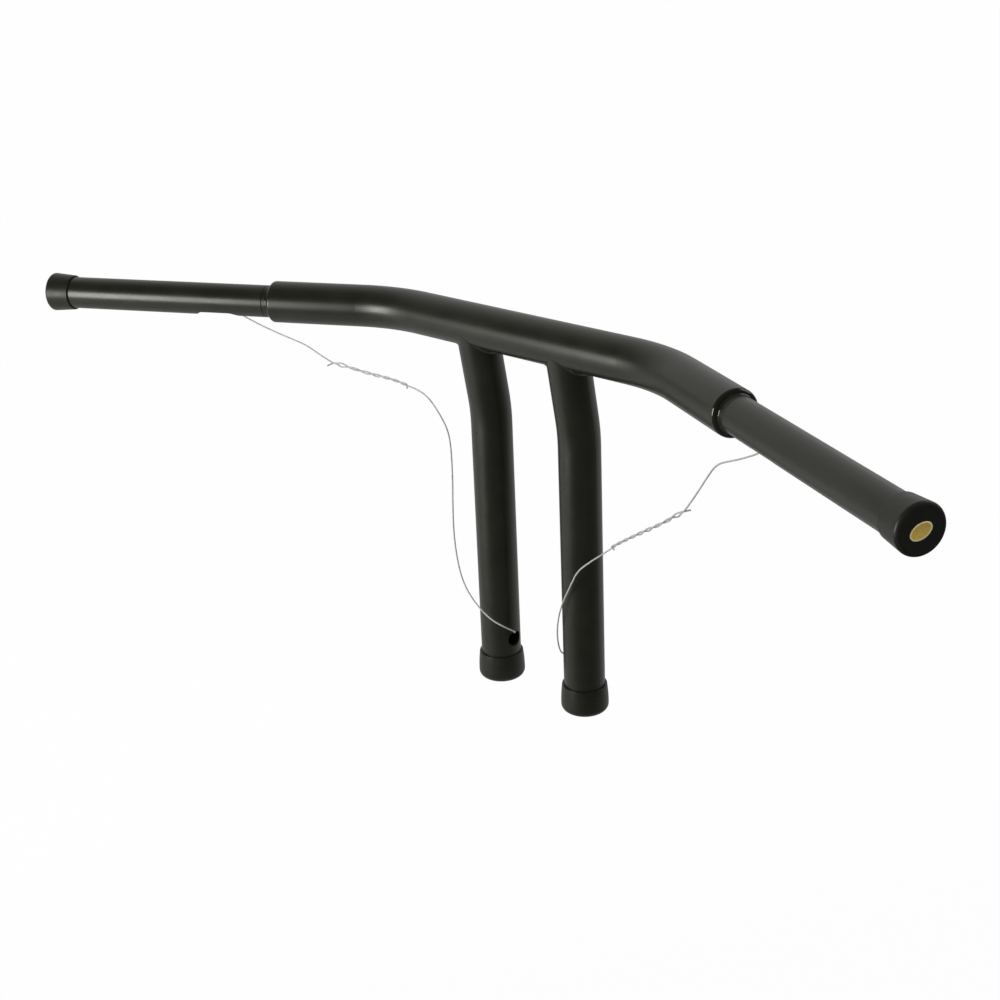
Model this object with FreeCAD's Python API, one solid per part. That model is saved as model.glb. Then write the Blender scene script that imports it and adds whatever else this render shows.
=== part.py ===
"""Motorcycle handlebar with welded risers, grip tubes, push-on end caps and two wiring pull wires.

Millimetres. The origin is midway between the two riser seats, +X is the rider's right,
+Y is forward and +Z is up, so the grips sweep back towards -Y.
"""
import FreeCAD
import Part
import math
import os

# Bar
RISE = 309.85             # riser seats to the top of the crossbar
RISER_SPACING = 88.9      # between the riser centres
SETBACK = 11.8            # crossbar centre behind the riser seats
BAR_OD = 32.7             # crossbar
BEND_SPAN = 262.5         # between the crossbar's two bend points
BEND_RADIUS = 120.0       # to the tube's centre line
SWEEP_DEG = 26.3          # each end, backwards
FAT_REACH = 104.4         # bend point to the end of the crossbar tube
SHOULDER_RADIUS = 2.6     # rounded outer edge of the crossbar's ends

# Grip tubes, plugged into the crossbar's ends
GRIP_OD = 25.4
GRIP_WALL = 3.175
GRIP_LENGTH = 197.4       # crossbar end to grip tip
PLUG_DEPTH = 38.0         # inside the crossbar
PLUG_CLEARANCE = 0.1      # radial
NECK_WIDTH = 5.8          # ring beside the shoulder, up to a turned groove
NECK_FILLET = 1.6         # where the ring meets the shoulder
NECK_GAP = 0.1            # between that fillet and the shoulder
GROOVE_WIDTH = 0.8
GROOVE_DEPTH = 0.35
TIP_CHAMFER = 0.6
SLOT_LENGTH = 40.0        # wiring slot under each grip
SLOT_WIDTH = 18.0
SLOT_OFFSET = 28.4        # crossbar end to the slot's near end

# Risers
RISER_OD = 31.75
RISER_WALL = 3.175
KNEE_HEIGHT = 225.4       # where the risers start to lean back
KNEE_RADIUS = 130.0
PORT_D = 19.0             # wiring port from each riser into the crossbar
WIRING_HOLE_D = 12.7      # in the inner face of each riser
WIRING_HOLE_HEIGHT = 34.5
JOINT_GAP = 0.1           # between the riser's coped top and the crossbar
WELD_LEG = 5.0
WELD_LAP = 0.4            # how far the bead's root lies inside the riser's surface
WELD_GAP = 0.05

# Threaded bungs in the riser bases
BUNG_LENGTH = 24.0
BUNG_CLEARANCE = 0.05     # radial
TAP_DRILL_D = 10.72       # for a 1/2 inch coarse thread
BUNG_CHAMFER = 0.4

# Push-on caps
CAP_CLEARANCE = 0.15      # radial, and between a tube's end and the cap's floor
CAP_FLOOR = 2.0
CAP_LIP_RADIUS = 0.5
GRIP_CAP_DEPTH = 17.7
GRIP_CAP_RIM_WALL = 1.2
GRIP_CAP_FLARE = 1.35     # how much thicker the wall is at the closed end
GRIP_CAP_EDGE_RADIUS = 2.4
RISER_CAP_DEPTH = 20.2
RISER_CAP_RIM_WALL = 1.45
RISER_CAP_BULGE = 1.05    # how much thicker the wall is at its fullest
RISER_CAP_BULGE_MIDDLE = 0.8
RISER_CAP_EDGE_RADIUS = 5.2

# Oval sticker on the right grip cap
STICKER_LENGTH = 13.8
STICKER_WIDTH = 9.5
STICKER_THICKNESS = 0.15
STICKER_TURN_DEG = 24.8
STICKER_DROP = 0.5        # below the cap's centre
STICKER_BACK = 0.55       # behind it

# Pull wires
WIRE_D = 1.2
WIRE_CLEARANCE = 0.3      # from what it lies on
WIRE_LEAN_DEG = 12.0      # how far forward of the lowest line it lies in the grip
WIRE_TURN_BACK = 1.8      # hidden run's end, short of the grip slot
WIRE_TURN_AHEAD = 2.9     # where it turns out, past the slot's near end
WIRE_LEAD = 5.0           # straight run inside the riser hole
WIRE_LEAD_RADIUS = 8.0
WIRE_CORNER_RADIUS = 20.0  # from the riser into the crossbar
TWIST_D = 2 * WIRE_D
ARC_SHARE = 0.45          # of the shorter run beside a corner of a free wire

# Turn of the wire at the right riser hole, from the topmost point of the hole's mouth
HOLE_TURN = [(-0.1, -0.2, -1.05), (4.9, -0.6, -1.05), (9.0, -1.3, 1.65)]

# Free routes of the wires: grip slot to twist, twist, and twist to riser hole
LEFT_UPPER = [
    (-246.5, -67.9, 277.9), (-234.1, -64.2, 273.0), (-211.3, -60.2, 267.6),
    (-189.5, -58.0, 264.2), (-175.6, -56.4, 258.3), (-161.5, -54.7, 253.6),
]
LEFT_TWIST = [
    (-161.5, -54.7, 253.6), (-141.4, -52.8, 252.5), (-122.6, -50.8, 250.7),
    (-100.3, -48.6, 250.6), (-86.3, -47.0, 248.1),
]
LEFT_LOWER = [
    (-86.3, -47.0, 248.1), (-76.5, -45.9, 246.4), (-67.3, -44.7, 242.7), (-61.0, -43.4, 235.8),
    (-55.0, -41.9, 226.8), (-50.9, -40.3, 217.1), (-50.4, -38.7, 203.9), (-53.6, -35.6, 178.2),
    (-58.5, -32.5, 151.7), (-62.1, -29.5, 125.1), (-62.4, -26.9, 103.0), (-60.2, -24.7, 85.7),
    (-54.7, -23.2, 74.4), (-45.8, -21.4, 64.1), (-35.2, -19.8, 56.8), (-27.6, -16.2, 52.5),
    (-24.2, -10.1, 47.6), (-24.2, -4.0, 43.2),
]
RIGHT_UPPER = [
    (248.5, -68.8, 275.9), (235.3, -65.5, 268.9), (223.4, -62.5, 263.4), (215.4, -60.6, 259.9),
    (209.5, -59.0, 255.4), (203.2, -56.7, 247.6), (195.7, -53.9, 237.5), (186.2, -50.4, 224.8),
    (176.4, -47.0, 212.8),
]
RIGHT_TWIST = [
    (176.4, -47.0, 212.8), (160.4, -43.0, 200.8), (137.8, -37.7, 185.7), (112.6, -32.1, 169.4),
    (98.8, -29.0, 159.4),
]
RIGHT_LOWER = [
    (98.8, -29.0, 159.4), (88.9, -26.6, 150.8), (73.1, -23.1, 138.7), (57.8, -20.2, 125.8),
    (50.2, -19.7, 111.7), (40.9, -19.7, 93.5), (34.0, -16.7, 78.3), (27.8, -11.9, 61.4),
    (24.5, -6.6, 46.2), (24.1, -2.5, 39.2),
]

# Worked out from the sizes above
AXIS_Z = RISE - BAR_OD / 2
HALF_SPAN = BEND_SPAN / 2
RISER_X = RISER_SPACING / 2
SWEEP = math.radians(SWEEP_DEG)
LEAN = math.atan2(SETBACK, AXIS_Z - KNEE_HEIGHT)
BAR_R = BAR_OD / 2
BAR_BORE_R = GRIP_OD / 2 + PLUG_CLEARANCE
GRIP_R = GRIP_OD / 2
GRIP_BORE_R = GRIP_R - GRIP_WALL
RISER_R = RISER_OD / 2
RISER_BORE_R = RISER_R - RISER_WALL
GRIP_TIP = FAT_REACH + GRIP_LENGTH
WIRE_R = WIRE_D / 2
WIRE_LEAN = math.radians(WIRE_LEAN_DEG)
WIRE_BORE_LINE = GRIP_BORE_R - WIRE_CLEARANCE - WIRE_R
WIRE_OUTER_LINE = GRIP_R + WIRE_CLEARANCE + WIRE_R
SAME_PLACE = 0.01         # for picking edges

X = FreeCAD.Vector(1, 0, 0)
Y = FreeCAD.Vector(0, 1, 0)
Z = FreeCAD.Vector(0, 0, 1)
ORIGIN = FreeCAD.Vector(0, 0, 0)
GRIP_AXIS = FreeCAD.Vector(math.cos(SWEEP), -math.sin(SWEEP), 0)
GRIP_FRONT = FreeCAD.Vector(math.sin(SWEEP), math.cos(SWEEP), 0)
BEND_POINT = FreeCAD.Vector(HALF_SPAN, -SETBACK, AXIS_Z)
LEAN_AXIS = FreeCAD.Vector(0, -math.sin(LEAN), math.cos(LEAN))
RISER_TOP = FreeCAD.Vector(RISER_X, -SETBACK, AXIS_Z)
GRIP_PLACE = FreeCAD.Placement(BEND_POINT, FreeCAD.Rotation(Z, -SWEEP_DEG))


def mirrored(shape):
    """The same piece on the rider's left."""
    return shape.mirror(ORIGIN, X)


def left_of(points):
    """Points on the right, as they lie on the rider's left."""
    return [FreeCAD.Vector(-point.x, point.y, point.z) for point in points]


def path_through(points, radii):
    """Straight runs between the points, with a tangent arc of the given radius at each inner one."""
    edges = []
    start = points[0]
    for before, corner, after, radius in zip(points, points[1:], points[2:], radii):
        arriving = (corner - before).normalize()
        leaving = (after - corner).normalize()
        half_turn = arriving.getAngle(leaving) / 2
        setback = radius * math.tan(half_turn)
        inwards = (leaving - arriving).normalize()
        arc_start = corner - arriving * setback
        arc_middle = corner + inwards * (radius / math.cos(half_turn) - radius)
        arc_end = corner + leaving * setback
        edges.append(Part.LineSegment(start, arc_start).toShape())
        edges.append(Part.Arc(arc_start, arc_middle, arc_end).toShape())
        start = arc_end
    edges.append(Part.LineSegment(start, points[-1]).toShape())
    return Part.Wire(edges)


def rod_along(path, radius):
    """A solid round rod that follows a path."""
    first = path.OrderedEdges[0]
    begin = first.valueAt(first.FirstParameter)
    heading = first.tangentAt(first.FirstParameter)
    ring = Part.Wire(Part.Circle(begin, heading, radius).toShape())
    return path.makePipeShell([ring], True, False)


def free_radii(points):
    """Arcs as large as the runs beside each corner of a free wire allow."""
    radii = []
    for before, corner, after in zip(points, points[1:], points[2:]):
        half_turn = (corner - before).getAngle(after - corner) / 2
        shorter = min((corner - before).Length, (after - corner).Length)
        radii.append(ARC_SHARE * shorter / math.tan(half_turn))
    return radii


def free_wire(name, points, diameter):
    """A wire along a route of points, with its tightest bend and its volume against section times length."""
    radii = free_radii(points)
    path = path_through(points, radii)
    solid = rod_along(path, diameter / 2)
    expected = math.pi * diameter ** 2 / 4 * path.Length
    print(name, "length", round(path.Length, 1), "volume ratio", round(solid.Volume / expected, 4),
          "radii", [round(radius, 1) for radius in radii])
    return solid


def turned(outline, axis_point, axis):
    """A solid of revolution from a closed outline of edges."""
    face = Part.Face(Part.Wire(outline))
    return Part.Solid(face.revolve(axis_point, axis, 360))


def line(*points):
    """Straight edges through (along, out) points of a turned piece that lies along X."""
    ends = [FreeCAD.Vector(along, 0, out) for along, out in points]
    return [Part.LineSegment(a, b).toShape() for a, b in zip(ends, ends[1:])]


def arc(start, middle, end):
    """An arc through three (along, out) points of a turned piece that lies along X."""
    ends = [FreeCAD.Vector(along, 0, out) for along, out in (start, middle, end)]
    return [Part.Arc(*ends).toShape()]


def rounded(start, corner, end, radius):
    """A quarter round from start to end about the corner that it replaces."""
    centre = (start[0] + end[0] - corner[0], start[1] + end[1] - corner[1])
    reach = radius * math.sqrt(0.5)
    middle = (centre[0] + math.copysign(reach, corner[0] - centre[0]),
              centre[1] + math.copysign(reach, corner[1] - centre[1]))
    return arc(start, middle, end)


def riser_path():
    """Centre line of the right riser, from its seat to the crossbar's axis."""
    seat = FreeCAD.Vector(RISER_X, 0, 0)
    knee = FreeCAD.Vector(RISER_X, 0, KNEE_HEIGHT)
    return path_through([seat, knee, RISER_TOP], [KNEE_RADIUS])


def crossbar():
    """One bent tube, rounded at its two ends and ported for the wiring at both risers."""
    right_end = BEND_POINT + GRIP_AXIS * FAT_REACH
    mirror = FreeCAD.Matrix(-1, 0, 0, 0, 0, 1, 0, 0, 0, 0, 1, 0)
    corners = [mirror * right_end, mirror * BEND_POINT, BEND_POINT, right_end]
    path = path_through(corners, [BEND_RADIUS, BEND_RADIUS])
    solid = rod_along(path, BAR_R)
    ends = [edge for edge in solid.Edges
            if any(edge.CenterOfMass.isEqual(end, SAME_PLACE) for end in (corners[0], corners[-1]))]
    tube = solid.makeFillet(SHOULDER_RADIUS, ends).cut(rod_along(path, BAR_BORE_R))
    port = Part.makeCylinder(PORT_D / 2, BAR_OD, RISER_TOP, LEAN_AXIS * -1)
    return tube.cut(port).cut(mirrored(port))


def grip_tube():
    """A tube plugged into the crossbar, with a ring filleted to the shoulder and a wiring slot underneath."""
    plug_end = FAT_REACH - PLUG_DEPTH
    neck_start = FAT_REACH + NECK_GAP
    neck_end = FAT_REACH + NECK_WIDTH
    fillet = NECK_FILLET
    foot = (neck_start + fillet, GRIP_R)
    tube = turned(
        line((plug_end, GRIP_BORE_R), (plug_end, GRIP_R), (neck_start, GRIP_R), (neck_start, GRIP_R + fillet))
        + rounded((neck_start, GRIP_R + fillet), (neck_start, GRIP_R), foot, fillet)
        + line(foot, (neck_end - GROOVE_WIDTH, GRIP_R), (neck_end - GROOVE_WIDTH / 2, GRIP_R - GROOVE_DEPTH),
               (neck_end, GRIP_R), (GRIP_TIP - TIP_CHAMFER, GRIP_R), (GRIP_TIP, GRIP_R - TIP_CHAMFER),
               (GRIP_TIP, GRIP_BORE_R), (plug_end, GRIP_BORE_R)),
        ORIGIN, X)
    slot_start = FAT_REACH + SLOT_OFFSET
    end_r = SLOT_WIDTH / 2
    slot = Part.makeBox(SLOT_LENGTH - SLOT_WIDTH, SLOT_WIDTH, GRIP_OD,
                        FreeCAD.Vector(slot_start + end_r, -end_r, -GRIP_OD))
    for along in (slot_start + end_r, slot_start + SLOT_LENGTH - end_r):
        slot = slot.fuse(Part.makeCylinder(end_r, GRIP_OD, FreeCAD.Vector(along, 0, -GRIP_OD), Z))
    tube = tube.cut(slot)
    tube.Placement = GRIP_PLACE
    return tube


def riser_tube():
    """A riser with a lean-back knee, coped to the crossbar and drilled for the wiring on its inner face."""
    path = riser_path()
    tube = rod_along(path, RISER_R).cut(rod_along(path, RISER_BORE_R))
    cope = Part.makeCylinder(BAR_R + JOINT_GAP, RISER_SPACING,
                             RISER_TOP - X * (RISER_SPACING / 2), X)
    hole = Part.makeCylinder(WIRING_HOLE_D / 2, RISER_OD,
                             FreeCAD.Vector(RISER_X, 0, WIRING_HOLE_HEIGHT), X * -1)
    return tube.cut(cope).cut(hole)


def riser_weld():
    """The blended weld in the two corners between a riser and the crossbar."""
    reach = 1.5 * BAR_OD  # well past the joint

    def bar(radius):
        return Part.makeCylinder(radius, 2 * reach, RISER_TOP - X * reach, X)

    def post(radius):
        return Part.makeCylinder(radius, reach, RISER_TOP - LEAN_AXIS * reach, LEAN_AXIS)

    joint = bar(BAR_R).fuse(post(RISER_R - WELD_LAP))
    seam = [edge for edge in joint.Edges
            if all(isinstance(face.Surface, Part.Cylinder)
                   for face in joint.ancestorsOfType(edge, Part.Face))
            and edge.BoundBox.YLength > RISER_R and edge.BoundBox.XLength > RISER_R
            and edge.BoundBox.ZLength > WELD_LEG]
    bead = joint.makeFillet(WELD_LEG, seam)
    return bead.cut(bar(BAR_R + WELD_GAP)).cut(post(RISER_R + WELD_GAP))


def riser_bung():
    """A turned insert in the riser's base, drilled and tapped for the mounting bolt."""
    outer = RISER_BORE_R - BUNG_CLEARANCE
    hole_r = TAP_DRILL_D / 2
    bung = turned(line(
        (0, hole_r + BUNG_CHAMFER), (0, outer), (BUNG_LENGTH - BUNG_CHAMFER, outer),
        (BUNG_LENGTH, outer - BUNG_CHAMFER), (BUNG_LENGTH, hole_r), (BUNG_CHAMFER, hole_r),
        (0, hole_r + BUNG_CHAMFER),
    ), ORIGIN, X)
    bung.Placement = FreeCAD.Placement(FreeCAD.Vector(RISER_X, 0, 0), FreeCAD.Rotation(X, Z))
    return bung


def grip_cap():
    """A push-on cap, a little flared towards its closed end."""
    inner = GRIP_R + CAP_CLEARANCE
    rim_r = inner + GRIP_CAP_RIM_WALL
    end_r = rim_r + GRIP_CAP_FLARE
    rim = GRIP_TIP - GRIP_CAP_DEPTH
    floor = GRIP_TIP + CAP_CLEARANCE
    closed = floor + CAP_FLOOR
    edge = GRIP_CAP_EDGE_RADIUS
    lip = CAP_LIP_RADIUS
    cap = turned(
        line((closed, 0), (floor, 0), (floor, inner), (rim, inner), (rim, rim_r - lip))
        + rounded((rim, rim_r - lip), (rim, rim_r), (rim + lip, rim_r), lip)
        + line((rim + lip, rim_r), (closed - edge, end_r))
        + rounded((closed - edge, end_r), (closed, end_r), (closed, end_r - edge), edge)
        + line((closed, end_r - edge), (closed, 0)),
        ORIGIN, X)
    cap.Placement = GRIP_PLACE
    return cap


def riser_cap():
    """A push-on cap on the riser's base, bulged where it is stretched over the tube's end."""
    inner = RISER_R + CAP_CLEARANCE
    rim_r = inner + RISER_CAP_RIM_WALL
    full_r = rim_r + RISER_CAP_BULGE
    rim = RISER_CAP_DEPTH
    floor = -CAP_CLEARANCE
    closed = floor - CAP_FLOOR
    edge = RISER_CAP_EDGE_RADIUS
    lip = CAP_LIP_RADIUS
    wall_middle = ((rim - lip + closed + edge) / 2, rim_r + RISER_CAP_BULGE_MIDDLE)
    cap = turned(
        line((closed, 0), (floor, 0), (floor, inner), (rim, inner), (rim, rim_r - lip))
        + rounded((rim, rim_r - lip), (rim, rim_r), (rim - lip, rim_r), lip)
        + arc((rim - lip, rim_r), wall_middle, (closed + edge, full_r))
        + rounded((closed + edge, full_r), (closed, full_r), (closed, full_r - edge), edge)
        + line((closed, full_r - edge), (closed, 0)),
        ORIGIN, X)
    cap.Placement = FreeCAD.Placement(FreeCAD.Vector(RISER_X, 0, 0), FreeCAD.Rotation(X, Z))
    return cap


def sticker():
    """A plain oval sticker on the closed face of the right grip cap."""
    face_centre = BEND_POINT + GRIP_AXIS * (GRIP_TIP + CAP_CLEARANCE + CAP_FLOOR)
    face_centre = face_centre - Z * STICKER_DROP - GRIP_FRONT * STICKER_BACK
    oval = Part.Ellipse(ORIGIN, STICKER_LENGTH / 2, STICKER_WIDTH / 2).toShape()
    disc = Part.Face(Part.Wire(oval)).extrude(Z * STICKER_THICKNESS)
    turn = FreeCAD.Rotation(GRIP_FRONT, Z, GRIP_AXIS, "ZXY")
    disc.Placement = FreeCAD.Placement(face_centre, turn * FreeCAD.Rotation(Z, STICKER_TURN_DEG))
    return disc


def route(points):
    """Listed points as vectors."""
    return [FreeCAD.Vector(*point) for point in points]


def beside_grip(distance, out):
    """A point that far along the right grip's axis, on the wire's line below it and a little forward."""
    aside = GRIP_FRONT * math.sin(WIRE_LEAN) - Z * math.cos(WIRE_LEAN)
    return BEND_POINT + GRIP_AXIS * distance + aside * out


def slot_turn():
    """Where the right wire turns out of the grip, through the near end of the slot."""
    slot_start = FAT_REACH + SLOT_OFFSET
    turn_out = slot_start + WIRE_TURN_AHEAD
    return [beside_grip(slot_start - WIRE_TURN_BACK, WIRE_BORE_LINE),
            beside_grip(turn_out, WIRE_BORE_LINE), beside_grip(turn_out, WIRE_OUTER_LINE)]


def hole_turn():
    """Where the right wire turns into the riser, over the upper edge of the wiring hole."""
    mouth_top = FreeCAD.Vector(RISER_X - RISER_R, 0, WIRING_HOLE_HEIGHT + WIRING_HOLE_D / 2)
    return [mouth_top + step for step in route(HOLE_TURN)]


def inner_wire():
    """The hidden run of the right pull wire, from the riser hole up the riser and along the bar."""
    hole_before, hole_end = hole_turn()[-2:]
    in_riser = hole_end + (hole_end - hole_before).normalize() * WIRE_LEAD
    # along the crossbar it keeps the same distance from the axis as in the grip
    forward = WIRE_BORE_LINE * math.sin(WIRE_LEAN)
    bend = BEND_POINT + X * (forward * math.tan(SWEEP / 2)) + Y * forward
    bend = bend - Z * (WIRE_BORE_LINE * math.cos(WIRE_LEAN))
    corner = FreeCAD.Vector(RISER_X, bend.y, bend.z)
    points = [hole_end, in_riser, corner, bend, slot_turn()[0]]
    radii = [WIRE_LEAD_RADIUS, WIRE_CORNER_RADIUS, BEND_RADIUS]
    return rod_along(path_through(points, radii), WIRE_R)


nodes = {"crossbar_tube": crossbar(), "right_grip_cap_sticker": sticker()}
for piece, make in (("grip_tube", grip_tube), ("riser_tube", riser_tube), ("riser_weld", riser_weld),
                    ("riser_bung", riser_bung), ("grip_cap", grip_cap), ("riser_cap", riser_cap),
                    ("pull_wire_inner", inner_wire)):
    right = make()
    nodes["right_" + piece] = right
    nodes["left_" + piece] = mirrored(right)

for name, points, diameter in (
    ("left_pull_wire_upper", left_of(slot_turn()) + route(LEFT_UPPER), WIRE_D),
    ("left_pull_wire_twist", route(LEFT_TWIST), TWIST_D),
    ("left_pull_wire_lower", route(LEFT_LOWER) + left_of(hole_turn()), WIRE_D),
    ("right_pull_wire_upper", slot_turn() + route(RIGHT_UPPER), WIRE_D),
    ("right_pull_wire_twist", route(RIGHT_TWIST), TWIST_D),
    ("right_pull_wire_lower", route(RIGHT_LOWER) + hole_turn(), WIRE_D),
):
    nodes[name] = free_wire(name, points, diameter)

os.makedirs("parts", exist_ok=True)
for name, shape in nodes.items():
    solids = Part.makeCompound(shape.Solids) if len(shape.Solids) > 1 else shape.Solids[0]
    print(name, "valid", solids.isValid(), "solids", len(shape.Solids), "volume", round(solids.Volume, 1))
    solids.exportStep(f"parts/{name}.step")
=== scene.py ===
# %% [markdown]
# # A motorcycle handlebar
# The object is a black handlebar: a bent crossbar on two welded risers, with grip tubes plugged
# into its ends, push-on caps on every open end, and two steel wires that wait to pull wiring through.
# The measured solids are loaded first and stay where they are. This lesson gives them their finishes
# and adds what a solid model leaves out, such as the twisted wires and the pressed foil sticker.

# %% Load the solids and keep their box
import bmesh
import bpy
import math
from mathutils import Matrix, Vector


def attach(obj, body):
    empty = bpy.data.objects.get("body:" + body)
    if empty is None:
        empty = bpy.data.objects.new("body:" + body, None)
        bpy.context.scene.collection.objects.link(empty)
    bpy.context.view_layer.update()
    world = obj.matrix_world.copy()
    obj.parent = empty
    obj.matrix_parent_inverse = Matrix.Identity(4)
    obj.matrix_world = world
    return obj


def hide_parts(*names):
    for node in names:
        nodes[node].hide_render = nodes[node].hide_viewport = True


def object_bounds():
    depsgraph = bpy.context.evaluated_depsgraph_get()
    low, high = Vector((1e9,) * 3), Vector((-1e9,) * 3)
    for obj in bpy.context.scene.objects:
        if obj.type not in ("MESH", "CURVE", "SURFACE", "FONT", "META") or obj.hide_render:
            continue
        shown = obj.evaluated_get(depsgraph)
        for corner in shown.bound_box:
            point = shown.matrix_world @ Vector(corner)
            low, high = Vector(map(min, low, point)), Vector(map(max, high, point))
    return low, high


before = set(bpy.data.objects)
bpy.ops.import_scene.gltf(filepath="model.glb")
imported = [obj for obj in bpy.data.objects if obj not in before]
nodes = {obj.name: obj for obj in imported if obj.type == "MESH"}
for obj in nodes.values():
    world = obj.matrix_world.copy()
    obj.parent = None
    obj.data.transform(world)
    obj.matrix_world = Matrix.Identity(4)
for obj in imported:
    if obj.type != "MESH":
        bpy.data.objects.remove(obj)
cad_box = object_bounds()
scene = bpy.context.scene
scene.view_settings.view_transform = "Standard"
print("solids", len(nodes), "box", [tuple(round(c, 4) for c in corner) for corner in cad_box])

# %% [markdown]
# ## Camera
# A product photo is taken from a little above, off one end. The place, aim and lens were worked out
# from the tubes' edges, so the camera's matrix is written down as three directions and a point.
# An empty with a Track To constraint could aim it too, but a fixed matrix can't drift.

# %% Camera at the photo's viewpoint
eye = Vector((0.77596, -0.82625, 0.62187))
to_right = Vector((0.72239, 0.69038, -0.03899))
to_top = Vector((-0.23366, 0.29678, 0.92592))
backwards = Vector((0.65081, -0.65977, 0.37570))
camera = bpy.data.objects.new("camera", bpy.data.cameras.new("camera"))
camera.data.lens = 58.024
camera.data.sensor_width = 36.0
camera.data.clip_end = 50.0
place = Matrix((to_right, to_top, backwards)).transposed().to_4x4()
camera.matrix_world = Matrix.Translation(eye) @ place
scene.collection.objects.link(camera)
scene.camera = camera
print("camera", tuple(round(c, 3) for c in eye), "lens", camera.data.lens)

# %% [markdown]
# ## Pull wires
# One soft steel wire runs through each side of the bar. Its two ends come out of the grip's slot and of
# the riser's hole, and they are twisted together in front of the bar so that the wire can't slip back.
# A wire is a curve with a round bevel. Its points are the route, and a NURBS spline rounds them off
# as a hand does, where a poly curve would show a kink at every point. The radius is given to the points
# and the bevel is one metre, because Blender adds a point's own radius to the curve's box.

# %% Routes of the free runs, in millimetres
slot_turn = [(249.48, -68.23, 285.06), (253.70, -70.32, 285.06), (254.16, -69.39, 280.20)]
hole_turn = [(28.475, -0.2, 39.8), (33.475, -0.6, 39.8), (37.575, -1.3, 42.5)]


def on_left(points):
    return [(-x, y, z) for x, y, z in points]


left_upper = on_left(slot_turn) + [
    (-246.5, -67.9, 277.9), (-234.1, -64.2, 273.0), (-211.3, -60.2, 267.6),
    (-189.5, -58.0, 264.2), (-175.6, -56.4, 258.3), (-161.5, -54.7, 253.6),
]
left_twist = [
    (-161.5, -54.7, 253.6), (-141.4, -52.8, 252.5), (-122.6, -50.8, 250.7),
    (-100.3, -48.6, 250.6), (-86.3, -47.0, 248.1),
]
left_lower = [
    (-86.3, -47.0, 248.1), (-76.5, -45.9, 246.4), (-67.3, -44.7, 242.7), (-61.0, -43.4, 235.8),
    (-55.0, -41.9, 226.8), (-50.9, -40.3, 217.1), (-50.4, -38.7, 203.9), (-53.6, -35.6, 178.2),
    (-58.5, -32.5, 151.7), (-62.1, -29.5, 125.1), (-62.4, -26.9, 103.0), (-60.2, -24.7, 85.7),
    (-54.7, -23.2, 74.4), (-45.8, -21.4, 64.1), (-35.2, -19.8, 56.8), (-27.6, -16.2, 52.5),
    (-24.2, -10.1, 47.6), (-24.2, -4.0, 43.2),
] + on_left(hole_turn)
right_upper = slot_turn + [
    (248.5, -68.8, 275.9), (235.3, -65.5, 268.9), (223.4, -62.5, 263.4), (215.4, -60.6, 259.9),
    (209.5, -59.0, 255.4), (203.2, -56.7, 247.6), (195.7, -53.9, 237.5), (186.2, -50.4, 224.8),
    (176.4, -47.0, 212.8),
]
right_twist = [
    (176.4, -47.0, 212.8), (160.4, -43.0, 200.8), (137.8, -37.7, 185.7), (112.6, -32.1, 169.4),
    (98.8, -29.0, 159.4),
]
right_lower = [
    (98.8, -29.0, 159.4), (88.9, -26.6, 150.8), (73.1, -23.1, 138.7), (57.8, -20.2, 125.8),
    (50.2, -19.7, 111.7), (40.9, -19.7, 93.5), (34.0, -16.7, 78.3), (27.8, -11.9, 61.4),
    (24.5, -6.6, 46.2), (24.1, -2.5, 39.2),
] + hole_turn
print("route points", len(left_upper), len(left_lower), len(right_upper), len(right_lower))


# %% A wire as a NURBS curve
MM = 0.001
WIRE_RADIUS = 0.0006


def wire_curve(name, points, radius):
    """A curve object of one smooth spline along points in metres, with a wall if it has a radius."""
    data = bpy.data.curves.new(name, "CURVE")
    data.dimensions = "3D"
    spline = data.splines.new("NURBS")
    spline.points.add(len(points) - 1)
    for control, point in zip(spline.points, points):
        control.co = (*point, 1.0)
        control.radius = radius
    spline.order_u = 3
    spline.use_endpoint_u = True
    spline.resolution_u = 8
    data.bevel_depth = 1.0 if radius else 0.0
    data.bevel_resolution = 3
    data.use_fill_caps = True
    piece = bpy.data.objects.new(name, data)
    scene.collection.objects.link(piece)
    return piece


def metres(points):
    return [Vector(point) * MM for point in points]


print("wire", 2 * WIRE_RADIUS, "across")

# %% [markdown]
# ## The twist
# The two ends are wound round each other by hand: an eye stays open at the start, and a kink or two
# in the middle. Each strand is a helix about the twist's own line. That line is a NURBS curve too, made
# a mesh for a moment so that its points can be read, and the strand's spline goes on through them.

# %% Helix points about the twist's line
TWIST_STEPS = 44
LOOSE_PITCH = 0.030
TIGHT_PITCH = 0.015
EYE_AT, EYE_WIDTH, EYE_OPEN = 0.12, 0.07, 1.2
KINKS_AT, KINKS_WIDTH, KINKS_OPEN = 0.52, 0.14, 0.4


def twist_line(name, points):
    """Points read along the smooth line in the middle of a twist."""
    guide = wire_curve(name, metres(points), 0.0)
    guide.data.splines[0].resolution_u = TWIST_STEPS
    mesh = bpy.data.meshes.new_from_object(guide)
    line = [vertex.co.copy() for vertex in mesh.vertices]
    bpy.data.objects.remove(guide)
    bpy.data.meshes.remove(mesh)
    return line


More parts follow.
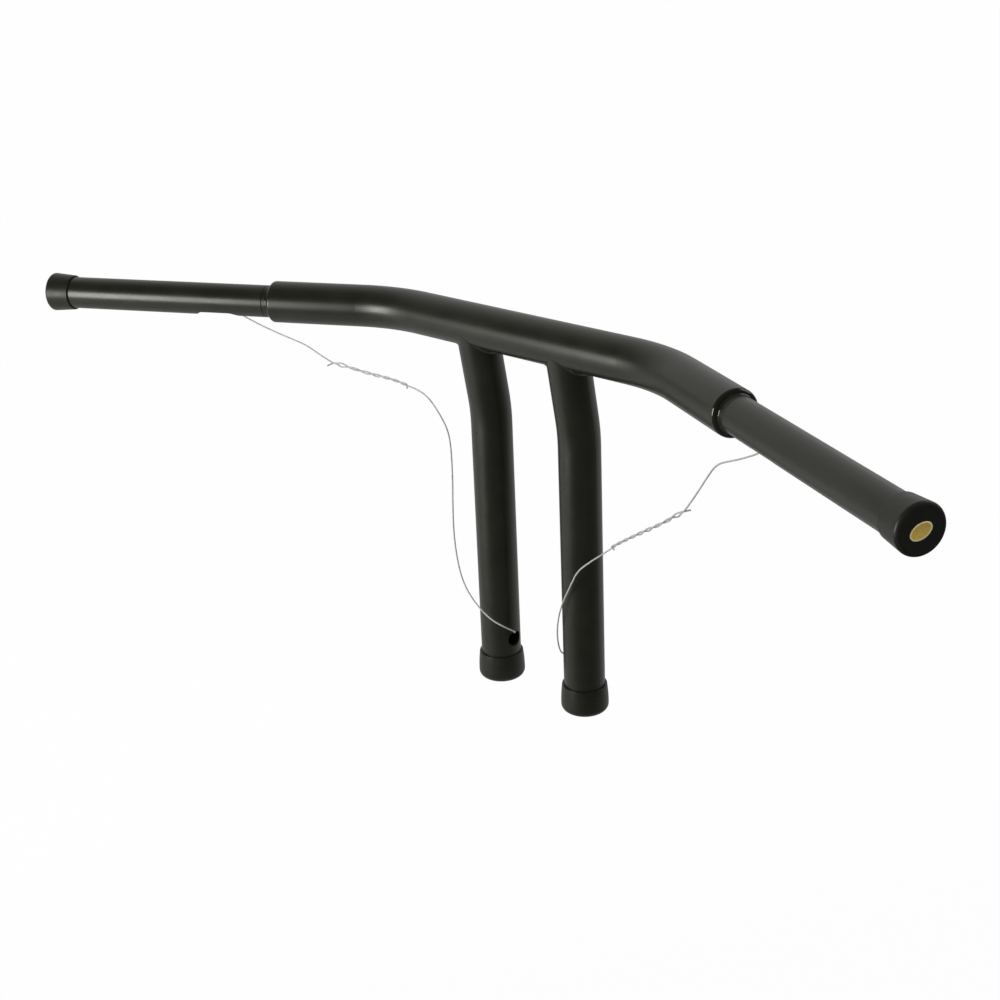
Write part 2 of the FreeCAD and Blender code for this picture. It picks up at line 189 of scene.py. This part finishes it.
def helix_about(line, half_turn):
    """One of the two strands about a line: they touch, but for an open eye and the kinks."""
    total = sum((b - a).length for a, b in zip(line, line[1:]))
    helix = []
    gone = 0.0
    angle = half_turn * math.pi
    for before, here, after in zip(line, line[1:], line[2:]):
        step = (here - before).length
        gone += step
        share = gone / total
        pitch = LOOSE_PITCH + (TIGHT_PITCH - LOOSE_PITCH) * share
        angle += 2 * math.pi * step / pitch
        open_eye = EYE_OPEN * math.exp(-((share - EYE_AT) / EYE_WIDTH) ** 2)
        kinks = KINKS_OPEN * math.exp(-((share - KINKS_AT) / KINKS_WIDTH) ** 2)
        out = WIRE_RADIUS * (1.0 + open_eye + kinks)
        along = (after - before).normalized()
        side = along.cross(Vector((0, 0, 1))).normalized()
        up = side.cross(along)
        helix.append(here + (side * math.cos(angle) + up * math.sin(angle)) * out)
    return helix


print("twist pitch from", LOOSE_PITCH, "to", TIGHT_PITCH)

# %% The four strands, each with its short tail
TAIL_POINTS = (0.4, 1.0)
# the runs of each side, and its two tails from the twist's start and end, in millimetres
WIRE_RUNS = {
    "left": (left_upper, left_twist, left_lower, (-2.8, -4.0, -2.0), (1.6, -1.2, -1.9)),
    "right": (right_upper, right_twist, right_lower, (3.2, 3.4, 0.6), (1.7, 0.6, -2.1)),
}
wires = []
for side, (upper, twist, lower, start_tail, end_tail) in WIRE_RUNS.items():
    line = twist_line(side + "_twist_line", twist)
    first, last = line[0], line[-1]
    down_strand = helix_about(line, half_turn=0)
    up_strand = helix_about(line, half_turn=1)[::-1]
    ends = [last + Vector(end_tail) * MM * share for share in TAIL_POINTS]
    upper_points = metres(upper[:-1]) + down_strand + ends
    ends = [first + Vector(start_tail) * MM * share for share in TAIL_POINTS]
    lower_points = metres(lower[:0:-1]) + up_strand + ends
    for end, points, covered in (("upper", upper_points, ("upper", "twist")),
                                 ("lower", lower_points, ("lower",))):
        wire = wire_curve(f"{side}_pull_wire_{end}_strand", points, WIRE_RADIUS)
        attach(wire, "bar")
        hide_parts(*(f"{side}_pull_wire_{node}" for node in covered))
        wires.append(wire)
        run = sum((b - a).length for a, b in zip(points, points[1:]))
        print(wire.name, "points", len(points), "runs added up", round(run, 4))

# %% The length of each strand as a cord, printed
# metres, in the order of the strands
CORD_LENGTHS = (0.186, 0.347, 0.216, 0.266)
for wire, length in zip(wires, CORD_LENGTHS):
    print(wire.name, "length", length)

# %% [markdown]
# ## Finishes
# Every finish is a few noise textures on Object coordinates, because the solids carry no UV map and a
# noise in space needs none. A few helpers add the nodes and set their sockets, so that each finish below
# reads as a short list of what it is made of.

# %% Helpers for node trees
# most of a noise lies between these two
NOISE_LOW, NOISE_HIGH = 0.3, 0.7
DARK_UNTIL, LIGHT_FROM = 0.35, 0.65


def add(tree, kind, **sockets):
    """A node with its sockets set by name, an underscore standing for a space."""
    node = tree.nodes.new("ShaderNode" + kind)
    for name, value in sockets.items():
        node.inputs[name.replace("_", " ")].default_value = value
    return node


def new_finish(name):
    """An empty material: its tree, its surface shader and the coordinates that its textures read."""
    finish = bpy.data.materials.new(name)
    finish.use_nodes = True
    tree = finish.node_tree
    surface = tree.nodes["Principled BSDF"]
    place = tree.nodes.new("ShaderNodeTexCoord").outputs["Object"]
    return finish, tree, surface, place


def noise(tree, place, scale, detail):
    """Smooth noise, its features about 1 / scale metres across."""
    texture = add(tree, "TexNoise", Scale=scale, Detail=detail)
    tree.links.new(place, texture.inputs["Vector"])
    return texture.outputs["Fac"]


def between(tree, factor, low, high, first=NOISE_LOW, last=NOISE_HIGH):
    """A number that goes from low to high as the factor goes from first to last."""
    spread = tree.nodes.new("ShaderNodeMapRange")
    for name, value in (("From Min", first), ("From Max", last), ("To Min", low), ("To Max", high)):
        spread.inputs[name].default_value = value
    tree.links.new(factor, spread.inputs["Value"])
    return spread.outputs["Result"]


def two_tones(tree, factor, dark, light):
    """A colour that drifts between two tones."""
    ramp = tree.nodes.new("ShaderNodeValToRGB")
    ramp.color_ramp.elements[0].position = DARK_UNTIL
    ramp.color_ramp.elements[1].position = LIGHT_FROM
    ramp.color_ramp.elements[0].color = (*dark, 1.0)
    ramp.color_ramp.elements[1].color = (*light, 1.0)
    tree.links.new(factor, ramp.inputs["Fac"])
    return ramp.outputs["Color"]


def bumps(tree, height, depth, strength):
    """A bump node for a height of that many metres."""
    bump = add(tree, "Bump", Strength=strength, Distance=depth)
    tree.links.new(height, bump.inputs["Height"])
    return bump.outputs["Normal"]


print("noise is spread from", NOISE_LOW, "to", NOISE_HIGH)

# %% [markdown]
# ## Satin black coat
# The tubes are coated with baked powder. It melts into a satin skin with a faint orange peel, a little
# duller here and shinier there. On the rounded shoulders and in the fillets beside them it pools and
# dries glossy, so the roughness drops along a short stretch of each grip's axis. A second material could
# do that, but the shoulder is part of the crossbar's solid, and a mask by place leaves no hard edge.

# %% Coat for all the tubes
SWEEP = math.radians(26.3)
BEND_X = 0.13125
BEND_Y = -0.0118
SHOULDER_START = 0.1018
FILLET_END = 0.1060
SOFT_EDGE = 0.0008
POOLED_GLOSS = 0.09
DRIFT_SCALE, PEEL_SCALE = 45.0, 700.0
PEEL_DEPTH = 0.00004
SATIN_ROUGH, PEEL_ROUGH = (0.29, 0.34), (-0.02, 0.02)
COAT_DARK, COAT_LIGHT = (0.0100, 0.0100, 0.0064), (0.0135, 0.0133, 0.0090)
COAT_SHEEN = (1.0, 0.99, 0.92, 1.0)


def math_node(tree, operation, first, second=None):
    """One step of arithmetic; a number is set on the socket, anything else is linked."""
    step = tree.nodes.new("ShaderNodeMath")
    step.operation = operation
    for socket, value in zip(step.inputs, (first, second)):
        if isinstance(value, float):
            socket.default_value = value
        elif value is not None:
            tree.links.new(value, socket)
    return step.outputs["Value"]


def along_grip(tree, place):
    """How far out along the nearer grip's axis a point lies, from the crossbar's bend."""
    parts = tree.nodes.new("ShaderNodeSeparateXYZ")
    tree.links.new(place, parts.inputs["Vector"])
    outwards = math_node(tree, "SUBTRACT", math_node(tree, "ABSOLUTE", parts.outputs["X"]), BEND_X)
    rearwards = math_node(tree, "SUBTRACT", BEND_Y, parts.outputs["Y"])
    across = math_node(tree, "MULTIPLY", outwards, math.cos(SWEEP))
    return math_node(tree, "ADD", across, math_node(tree, "MULTIPLY", rearwards, math.sin(SWEEP)))


coat, tree, surface, place = new_finish("satin_black_coat")
drift = noise(tree, place, DRIFT_SCALE, detail=3.0)
peel = noise(tree, place, PEEL_SCALE, detail=2.0)
tree.links.new(two_tones(tree, drift, COAT_DARK, COAT_LIGHT), surface.inputs["Base Color"])
surface.inputs["Specular Tint"].default_value = COAT_SHEEN
satin = math_node(tree, "ADD", between(tree, drift, *SATIN_ROUGH), between(tree, peel, *PEEL_ROUGH))
along = along_grip(tree, place)
pooled = math_node(tree, "MULTIPLY",
                   between(tree, along, 0.0, 1.0, SHOULDER_START, SHOULDER_START + SOFT_EDGE),
                   between(tree, along, 1.0, 0.0, FILLET_END, FILLET_END + SOFT_EDGE))
gloss = tree.nodes.new("ShaderNodeMix")
gloss.inputs["B"].default_value = POOLED_GLOSS
tree.links.new(pooled, gloss.inputs["Factor"])
tree.links.new(satin, gloss.inputs["A"])
tree.links.new(gloss.outputs["Result"], surface.inputs["Roughness"])
tree.links.new(bumps(tree, peel, PEEL_DEPTH, strength=0.15), surface.inputs["Normal"])
tubes = [name for name in nodes if name.endswith(("_tube", "_weld"))]
for name in tubes:
    nodes[name].material_slots[0].material = coat
print("coated", sorted(tubes))

# %% [markdown]
# ## Vinyl caps
# The caps are moulded vinyl: nearly black, with a soft mottle and a very fine grain. Vinyl reflects
# less than a paint film, so its specular level is set below the usual value. The flat closed ends of the
# grip caps leave the mould duller than the walls, so the same mask by place that the coat uses roughens them.

# %% Vinyl for the four caps
CLOSED_END = 0.3035
CLOSED_END_DULLER = 0.42
MOTTLE_SCALE, GRAIN_SCALE = 130.0, 2400.0
GRAIN_DEPTH = 0.00005
VINYL_ROUGH = (0.34, 0.44)
VINYL_DARK, VINYL_LIGHT = (0.0092, 0.0090, 0.0066), (0.0130, 0.0127, 0.0098)
VINYL_SHEEN = (1.0, 0.99, 0.90, 1.0)
vinyl, tree, surface, place = new_finish("matt_vinyl")
mottle = noise(tree, place, MOTTLE_SCALE, detail=4.0)
grain = noise(tree, place, GRAIN_SCALE, detail=2.0)
tree.links.new(two_tones(tree, mottle, VINYL_DARK, VINYL_LIGHT), surface.inputs["Base Color"])
closed = between(tree, along_grip(tree, place), 0.0, CLOSED_END_DULLER, CLOSED_END - SOFT_EDGE, CLOSED_END)
dull = math_node(tree, "ADD", between(tree, mottle, *VINYL_ROUGH), closed)
tree.links.new(dull, surface.inputs["Roughness"])
surface.inputs["Specular IOR Level"].default_value = 0.40
surface.inputs["Specular Tint"].default_value = VINYL_SHEEN
tree.links.new(bumps(tree, grain, GRAIN_DEPTH, strength=0.18), surface.inputs["Normal"])
caps = [name for name in nodes if name.endswith("_cap")]
for name in caps:
    nodes[name].material_slots[0].material = vinyl
print("vinyl", sorted(caps))

# %% [markdown]
# ## Galvanised wire
# Soft steel wire has a thin zinc skin that weathers to a dull, even grey, with duller and brighter
# stretches along it. Bare metal would mirror the white room and vanish in it, so the metallic value is low.

# %% Zinc for the wires
SPANGLE_SCALE = 260.0
ZINC_ROUGH = (0.40, 0.55)
ZINC_DARK, ZINC_LIGHT = (0.44, 0.44, 0.425), (0.54, 0.54, 0.525)
zinc, tree, surface, place = new_finish("galvanised_wire")
spangle = noise(tree, place, SPANGLE_SCALE, detail=3.0)
tree.links.new(two_tones(tree, spangle, ZINC_DARK, ZINC_LIGHT), surface.inputs["Base Color"])
tree.links.new(between(tree, spangle, *ZINC_ROUGH), surface.inputs["Roughness"])
surface.inputs["Metallic"].default_value = 0.1
for wire in wires:
    wire.data.materials.append(zinc)
hidden_runs = [name for name in nodes if name.endswith("_inner")]
for name in hidden_runs:
    nodes[name].material_slots[0].material = zinc
print("zinc", len(wires), "strands and", sorted(hidden_runs))

# %% [markdown]
# ## Foil sticker
# A small oval of plain gold foil sits on the right cap's face. Its border is pressed up and catches the
# light, and its gold is also painted lighter than the field's: a painted highlight. The oval starts as a
# filled circle, which is stretched, extruded to the border's height and inset twice: once for the border,
# and once for the slope down to the field. A bevel could round that slope, but at this size nobody would
# see it. The two golds are two slots of one mesh.

# %% Foil oval with a pressed border
STICKER_HALF = (0.0069, 0.00475)
STICKER_TURN = 24.8
SIDES = 96
FOIL = 0.00008
PRESSED = 0.00015
BORDER = 0.0007
PRESSED_EDGE = 0.00018
cap_face = Vector((0.40349, -0.14696, 0.29300))
front = Vector((math.sin(SWEEP), math.cos(SWEEP), 0))
outward = Vector((math.cos(SWEEP), -math.sin(SWEEP), 0))
on_face = Matrix((front, (0, 0, 1), outward)).transposed().to_4x4()


def piece_from(shape, name):
    """A finished bmesh made an object of that name, at the origin."""
    mesh = bpy.data.meshes.new(name)
    shape.to_mesh(mesh)
    shape.free()
    piece = bpy.data.objects.new(name, mesh)
    scene.collection.objects.link(piece)
    return piece


shape = bmesh.new()
bmesh.ops.create_circle(shape, cap_ends=True, segments=SIDES, radius=1.0)
bmesh.ops.scale(shape, vec=(*STICKER_HALF, 1.0), verts=shape.verts)
body = bmesh.ops.extrude_face_region(shape, geom=shape.faces[:])["geom"]
top = [item for item in body if isinstance(item, bmesh.types.BMFace)]
bmesh.ops.translate(shape, vec=(0, 0, PRESSED), verts=top[0].verts)
bmesh.ops.inset_region(shape, faces=top, thickness=BORDER)
field = [face for face in shape.faces if len(face.verts) == SIDES and face.calc_center_median().z > FOIL]
bmesh.ops.inset_region(shape, faces=field, thickness=PRESSED_EDGE)
bmesh.ops.translate(shape, vec=(0, 0, FOIL - PRESSED), verts=field[0].verts)
bmesh.ops.recalc_face_normals(shape, faces=shape.faces)
for face in shape.faces:
    face.smooth = True
    face.material_index = 0 if face in field else 1
turned = on_face @ Matrix.Rotation(math.radians(STICKER_TURN), 4, "Z")
bmesh.ops.transform(shape, matrix=Matrix.Translation(cap_face) @ turned, verts=shape.verts)
foil_piece = piece_from(shape, "foil_sticker")
print("sticker faces", len(foil_piece.data.polygons))

# %% Gold for the sticker's field and border
CRINKLE_SCALE = 1500.0
CRINKLE_DEPTH = 0.00004
FOIL_ROUGH = (0.30, 0.42)
GOLDS = {
    "foil_field": ((0.66, 0.46, 0.072), (0.80, 0.58, 0.125)),
    # painted highlight: the border's gold is lighter than the field's, standing for the light that the
    # pressed border catches
    "foil_border_painted_highlight": ((0.92, 0.80, 0.40), (1.0, 0.92, 0.58)),
}
for name, (dark, light) in GOLDS.items():
    foil, tree, surface, place = new_finish(name)
    crinkle = noise(tree, place, CRINKLE_SCALE, detail=3.0)
    tree.links.new(two_tones(tree, crinkle, dark, light), surface.inputs["Base Color"])
    tree.links.new(between(tree, crinkle, *FOIL_ROUGH), surface.inputs["Roughness"])
    surface.inputs["Metallic"].default_value = 0.1
    tree.links.new(bumps(tree, crinkle, CRINKLE_DEPTH, strength=0.3), surface.inputs["Normal"])
    foil_piece.data.materials.append(foil)
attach(foil_piece, "right_grip_cap")
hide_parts("right_grip_cap_sticker")
print("golds", list(GOLDS))

# %% [markdown]
# ## Threaded bungs
# Under each riser cap a steel bung takes the mounting bolt. The solid has a plain hole at the tap drill's
# size; here it gets its thread. The body is a section spun right round the axis. The thread is a
# small trapezium spun along it: the same operator moves it up by one pitch for each turn.

# %% Bung bodies with a thread
RISER_X = 0.04445
BUNG_RADIUS = 0.01265
BUNG_LENGTH = 0.024
THREAD_ROOT = 0.00635
THREAD_CREST = 0.00536
PITCH = 0.001954
TURNS = 11
STEPS_PER_TURN = 28
LEAD_IN = 0.0008
THREAD_START = 0.0011
CHAMFER = 0.0004
SUNK = 0.00005
RIDGE_RISE, RIDGE_TOP, RIDGE_FOOT = 0.36, 0.5, 0.86
BODY_STEPS = 72
SAME_PLACE = 1e-6
section = [(THREAD_ROOT + LEAD_IN, 0), (BUNG_RADIUS, 0), (BUNG_RADIUS, BUNG_LENGTH - CHAMFER),
           (BUNG_RADIUS - CHAMFER, BUNG_LENGTH), (THREAD_ROOT, BUNG_LENGTH), (THREAD_ROOT, LEAD_IN)]
ridge = [(THREAD_ROOT + SUNK, 0), (THREAD_CREST, RIDGE_RISE * PITCH), (THREAD_CREST, RIDGE_TOP * PITCH),
         (THREAD_ROOT + SUNK, RIDGE_FOOT * PITCH)]


def ring_of(shape, points, lift):
    """A closed loop of edges in the XZ plane, from (radius, height) points."""
    corners = [shape.verts.new((radius, 0, height + lift)) for radius, height in points]
    return corners + [shape.edges.new(pair) for pair in zip(corners, corners[1:] + corners[:1])]


bungs = {}
for side, sign in (("left", -1), ("right", 1)):
    shape = bmesh.new()
    bmesh.ops.spin(shape, geom=ring_of(shape, section, lift=0), cent=(0, 0, 0), axis=(0, 0, 1),
                   angle=2 * math.pi, steps=BODY_STEPS, use_merge=True)
    bmesh.ops.spin(shape, geom=ring_of(shape, ridge, lift=THREAD_START), cent=(0, 0, 0), axis=(0, 0, 1),
                   dvec=(0, 0, PITCH / STEPS_PER_TURN), angle=2 * math.pi * TURNS,
                   steps=TURNS * STEPS_PER_TURN)
    bmesh.ops.holes_fill(shape, edges=[edge for edge in shape.edges if edge.is_boundary], sides=4)
    bmesh.ops.remove_doubles(shape, verts=shape.verts, dist=SAME_PLACE)
    bmesh.ops.recalc_face_normals(shape, faces=shape.faces)
    bmesh.ops.translate(shape, vec=(sign * RISER_X, 0, 0), verts=shape.verts)
    bungs[side] = piece_from(shape, side + "_threaded_bung")
    print(bungs[side].name, "faces", len(bungs[side].data.polygons))

# %% Turned steel for the bungs
TURNING_MARKS = (120.0, 120.0, 4000.0)
STEEL_ROUGH = (0.25, 0.42)
STEEL_DARK, STEEL_LIGHT = (0.36, 0.36, 0.35), (0.50, 0.50, 0.49)
steel, tree, surface, place = new_finish("turned_steel")
marks = add(tree, "TexNoise", Scale=1.0, Detail=3.0)
stretch = tree.nodes.new("ShaderNodeMapping")
stretch.inputs["Scale"].default_value = TURNING_MARKS
tree.links.new(place, stretch.inputs["Vector"])
tree.links.new(stretch.outputs["Vector"], marks.inputs["Vector"])
tone = two_tones(tree, marks.outputs["Fac"], STEEL_DARK, STEEL_LIGHT)
tree.links.new(tone, surface.inputs["Base Color"])
tree.links.new(between(tree, marks.outputs["Fac"], *STEEL_ROUGH), surface.inputs["Roughness"])
surface.inputs["Metallic"].default_value = 1.0
for side, bung in bungs.items():
    bung.data.materials.append(steel)
    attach(bung, "bar")
    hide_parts(side + "_riser_bung")
print("steel", sorted(bungs))

# %% [markdown]
# ## Floor, room and lamps
# The photo's background is plain white. The camera sees the floor and the world as white, and so does
# glass. Mirrored in the coat, the room is dim in front and white behind, and the paper's colour is
# painted darker in front of the bar, a painted shade which keeps the undersides dark. The paper lies
# below the seats, so that the riser caps stay in sight when they are pulled off. Two low strips draw the
# bright lines along the tubes, a panel does the same at the back, and a weak one hangs overhead. A studio
# picture for the world would do, but these can be tuned one by one.

# %% White ground
FLOOR_DROP = 0.09
GROUND_RADIUS = 12.0
ground_shape = bmesh.new()
bmesh.ops.create_circle(ground_shape, cap_ends=True, segments=SIDES, radius=GROUND_RADIUS)
bmesh.ops.translate(ground_shape, vec=(0, 0, cad_box[0].z - FLOOR_DROP), verts=ground_shape.verts)
ground = piece_from(ground_shape, "ground")
print("ground at", round(cad_box[0].z - FLOOR_DROP, 5))

# %% Paper, white to the camera, with painted shade seen in reflections
TO_THE_FRONT = (0.84, -0.54, 0.0)
PAPER_LIGHT, PAPER_DARK = 0.64, 0.14
SHADE_FROM, SHADE_TO = -0.02, 0.24
PAPER_WHITE = 0.985
paper = bpy.data.materials.new("white_paper")
paper.use_nodes = True
tree = paper.node_tree
tree.nodes.clear()
lit = tree.nodes.new("ShaderNodeBsdfDiffuse")
edge = tree.nodes.new("ShaderNodeVectorMath")
edge.operation = "DOT_PRODUCT"
edge.inputs[1].default_value = TO_THE_FRONT
tree.links.new(tree.nodes.new("ShaderNodeTexCoord").outputs["Object"], edge.inputs[0])
# painted shade: the paper's colour darkens from PAPER_LIGHT to PAPER_DARK towards the front, so reflections
# in the coat show a dim floor there
painted_shade = between(tree, edge.outputs["Value"], PAPER_LIGHT, PAPER_DARK, SHADE_FROM, SHADE_TO)
tree.links.new(painted_shade, lit.inputs["Color"])
white = add(tree, "Emission", Color=(1.0, 1.0, 1.0, 1.0), Strength=1.0)
ray = tree.nodes.new("ShaderNodeLightPath")
direct = math_node(tree, "MAXIMUM", ray.outputs["Is Camera Ray"], ray.outputs["Is Transmission Ray"])
seen = math_node(tree, "MULTIPLY", direct, PAPER_WHITE)
mix = tree.nodes.new("ShaderNodeMixShader")
tree.links.new(seen, mix.inputs["Fac"])
tree.links.new(lit.outputs["BSDF"], mix.inputs[1])
tree.links.new(white.outputs["Emission"], mix.inputs[2])
output = tree.nodes.new("ShaderNodeOutputMaterial")
tree.links.new(mix.outputs["Shader"], output.inputs["Surface"])
ground.data.materials.append(paper)
print("paper nodes", len(tree.nodes))

# %% Room
TO_THE_BACK = (-0.716, 0.698, 0.0)
ROOM_DIM, ROOM_BRIGHT = 0.06, 0.66
BRIGHTENS_FROM, BRIGHTENS_TO = 0.1, 0.7
ROOM_LIGHT = 0.65
world = bpy.data.worlds.new("room")
scene.world = world
world.use_nodes = True
tree = world.node_tree
sky = tree.nodes["Background"]
ray = tree.nodes.new("ShaderNodeLightPath")
heading = tree.nodes.new("ShaderNodeVectorMath")
heading.operation = "DOT_PRODUCT"
heading.inputs[1].default_value = TO_THE_BACK
tree.links.new(tree.nodes.new("ShaderNodeTexCoord").outputs["Generated"], heading.inputs[0])
backdrop = between(tree, heading.outputs["Value"], ROOM_DIM, ROOM_BRIGHT, BRIGHTENS_FROM, BRIGHTENS_TO)
mirrored = tree.nodes.new("ShaderNodeMix")
mirrored.inputs["A"].default_value = ROOM_LIGHT
tree.links.new(ray.outputs["Is Glossy Ray"], mirrored.inputs["Factor"])
tree.links.new(backdrop, mirrored.inputs["B"])
direct = math_node(tree, "MAXIMUM", ray.outputs["Is Camera Ray"], ray.outputs["Is Transmission Ray"])
strength = math_node(tree, "MAXIMUM", direct, mirrored.outputs["Result"])
sky.inputs["Color"].default_value = (1.0, 1.0, 1.0, 1.0)
tree.links.new(strength, sky.inputs["Strength"])
print("world nodes", len(tree.nodes))

# %% Lamps
AIM = Vector((0.0, -0.05, 0.25))
# name: place and size in metres, power in watts
LAMPS = {
    "front_strip": ((-0.51, -1.40, 0.29), (0.50, 0.66), 13.5),
    "side_strip": ((-1.05, -1.20, 0.31), (0.60, 0.52), 1.1),
    "back_panel": ((0.95, 0.75, 0.95), (0.70, 0.70), 3.2),
    "overhead_panel": ((-0.15, -0.10, 1.75), (1.6, 1.6), 0.5),
}
for name, (where, size, power) in LAMPS.items():
    light = bpy.data.lights.new(name, "AREA")
    light.shape = "RECTANGLE"
    light.size, light.size_y = size
    light.energy = power
    lamp = bpy.data.objects.new(name, light)
    lamp.location = where
    lamp.rotation_euler = (AIM - Vector(where)).to_track_quat("-Z", "Y").to_euler()
    scene.collection.objects.link(lamp)
    print(name, "at", where, "watts", power)
